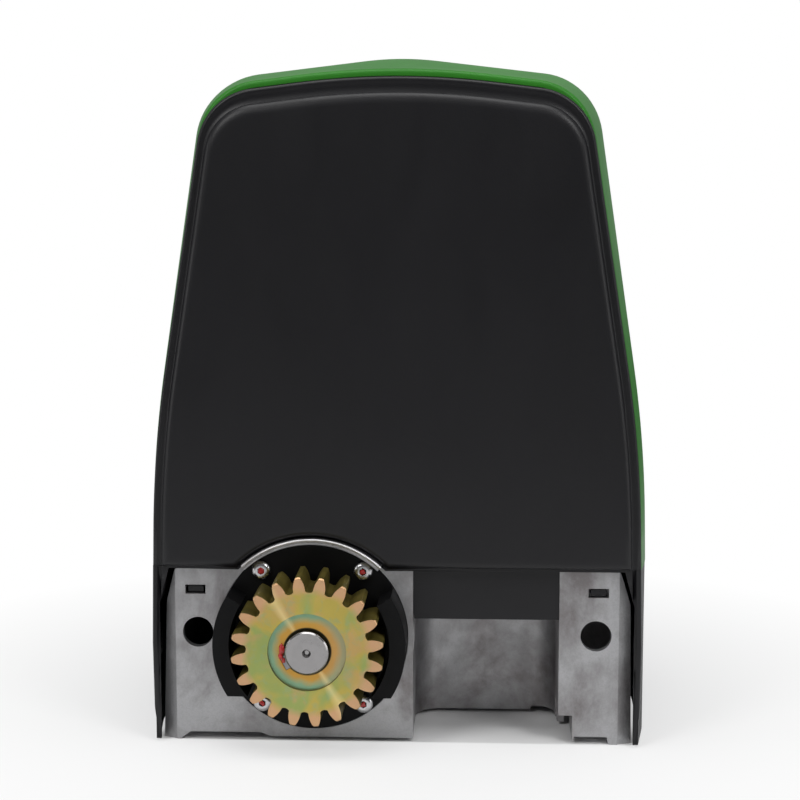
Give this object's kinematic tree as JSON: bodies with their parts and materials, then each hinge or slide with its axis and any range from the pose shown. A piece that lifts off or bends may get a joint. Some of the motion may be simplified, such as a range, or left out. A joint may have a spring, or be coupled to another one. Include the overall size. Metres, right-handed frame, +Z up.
{
  "type": "sliding gate motor",
  "caption": "Sliding gate operator: cast gearbox base with a spur pinion on one side, worm drive, motor, batteries and controller under a lift-off hood.",
  "frame": {"origin": "centre of the four foundation bolts, on the plane the base rests on", "axes": "+Z up; -Y towards the gate, out of the face that carries the pinion; +X to the right for someone who faces the pinion"},
  "size_m": [0.3016, 0.2586, 0.4062],
  "materials": {
    "cast_aluminium": "as-cast die-cast skin with machined faces",
    "black_casing": "fine moulded grain, black",
    "green_cover": "satin moulded green plastic",
    "passivated_zinc": "yellow passivated zinc plate",
    "bright_steel": "turned and ground steel",
    "zinc_screw": "bright zinc plated steel",
    "bearing_steel": "ground bearing steel",
    "seal_rubber": "nitrile rubber",
    "gear_bronze": "machined bronze",
    "sintered_bush": "sintered bronze",
    "hardened_steel": "hardened and ground steel",
    "lamination": "lacquered lamination steel",
    "copper": "enamelled copper wire",
    "ferrite": "ferrite magnet",
    "carbon": "carbon brush",
    "motor_paint": "black paint on drawn steel",
    "black_moulding": "moulded glass-filled nylon",
    "battery_case": "moulded battery case",
    "zinc_sheet": "zinc plated sheet",
    "circuit_board": "green solder resist",
    "display": "display in a black frame",
    "terminal_green": "moulded terminal",
    "relay_blue": "moulded relay case",
    "button_cap": "moulded push button",
    "charger_case": "finned extrusion",
    "lock_metal": "plated die-cast lock"
  },
  "bodies": {
    "base": {"gearbox_housing": "cast_aluminium", "gearcase_cover": "cast_aluminium", "gearcase_screws": "zinc_screw", "pinion_guard": "black_moulding", "guard_screws": "zinc_screw", "shaft_seal": "seal_rubber", "rear_bearing": "bearing_steel", "front_bearing": "bearing_steel", "worm_lower_bearing": "bearing_steel", "worm_upper_bearing": "bearing_steel", "oil_fill_plug": "zinc_screw", "motor_flange": "cast_aluminium", "motor_can": "motor_paint", "motor_magnets": "ferrite", "motor_brushes": "carbon", "motor_end_cap": "black_moulding", "encoder_board": "circuit_board", "chassis_tray": "black_moulding", "chassis_screws": "zinc_screw", "battery_left": "battery_case", "battery_right": "battery_case", "controller_bracket": "zinc_sheet", "board_standoffs": "button_cap", "control_board": "circuit_board", "lcd_module": "display", "terminal_blocks": "terminal_green", "relays": "relay_blue", "charger_module": "charger_case", "rear_casing": "black_casing", "front_casing": "black_casing", "casing_screws": "zinc_screw", "hatch_hinge_pins": "bright_steel"},
    "output": {"output_shaft": "bright_steel", "drive_pinion": "passivated_zinc", "pinion_key": "hardened_steel"},
    "wheel": {"worm_wheel": "gear_bronze", "wheel_bush": "sintered_bush"},
    "rotor": {"worm_shaft": "hardened_steel", "armature_core": "lamination", "armature_windings": "copper", "commutator": "copper", "encoder_disc": "black_moulding"},
    "clutch": {"clutch_sleeve": "hardened_steel", "clutch_cross_pin": "bright_steel", "release_rod": "bright_steel"},
    "thumbwheel": {"release_thumbwheel": "black_moulding"},
    "cover": {"top_cover": "green_cover"},
    "hatch": {"release_hatch": "black_casing", "cap_rivet": "lock_metal"},
    "lock": {"camlock": "lock_metal"},
    "lock_cap": {"camlock_cap": "black_moulding"},
    "button_1": {"board_button_1": "button_cap"},
    "button_2": {"board_button_2": "button_cap"},
    "button_3": {"board_button_3": "button_cap"},
    "button_4": {"board_button_4": "button_cap"}
  },
  "joints": [
    {"name": "rotor_spin", "type": "hinge", "parent": "base", "child": "rotor", "pos_m": [0.0108, 0.005, 0.15], "axis": [0, 0, 1], "continuous": true},
    {"name": "wheel_spin", "type": "hinge", "parent": "base", "child": "wheel", "pos_m": [-0.0492, 0.005, 0.064], "axis": [0, 1, 0], "continuous": true},
    {"name": "output_spin", "type": "hinge", "parent": "base", "child": "output", "pos_m": [-0.0492, -0.107, 0.064], "axis": [0, 1, 0], "continuous": true},
    {"name": "release_turn", "type": "hinge", "parent": "base", "child": "thumbwheel", "pos_m": [-0.0492, 0.074, 0.064], "axis": [0, 1, 0], "range_deg": [0, 270]},
    {"name": "clutch_slide", "type": "slide", "parent": "output", "child": "clutch", "axis": [0, 1, 0], "range_m": [0, 0.004]},
    {"name": "cover_lift", "type": "slide", "parent": "base", "child": "cover", "axis": [0, 0, 1], "range_m": [0, 0.3]},
    {"name": "hatch_hinge", "type": "hinge", "parent": "base", "child": "hatch", "pos_m": [-0.049, 0.1283, 0.094], "axis": [1, 0, 0], "range_deg": [0, 95]},
    {"name": "lock_turn", "type": "hinge", "parent": "hatch", "child": "lock", "pos_m": [-0.049, 0.128, 0.038], "axis": [0, 1, 0], "range_deg": [0, 90]},
    {"name": "lock_cap_swing", "type": "hinge", "parent": "hatch", "child": "lock_cap", "pos_m": [-0.049, 0.1316, 0.054], "axis": [0, 1, 0], "range_deg": [-110, 110]},
    {"name": "button_1_press", "type": "slide", "parent": "base", "child": "button_1", "axis": [0, 0, -1], "range_m": [0, 0.0004], "stiffness_N_per_m": 300},
    {"name": "button_2_press", "type": "slide", "parent": "base", "child": "button_2", "axis": [0, 0, -1], "range_m": [0, 0.0004], "stiffness_N_per_m": 300},
    {"name": "button_3_press", "type": "slide", "parent": "base", "child": "button_3", "axis": [0, 0, -1], "range_m": [0, 0.0004], "stiffness_N_per_m": 300},
    {"name": "button_4_press", "type": "slide", "parent": "base", "child": "button_4", "axis": [0, 0, -1], "range_m": [0, 0.0004], "stiffness_N_per_m": 300}
  ],
  "couplings": [
    {"joint": "wheel_spin", "follows": "rotor_spin", "ratio": 0.033333},
    {"joint": "output_spin", "follows": "rotor_spin", "ratio": 0.033333},
    {"joint": "release_turn", "follows": "clutch_slide", "rad_per_m": 1178.1}
  ]
}
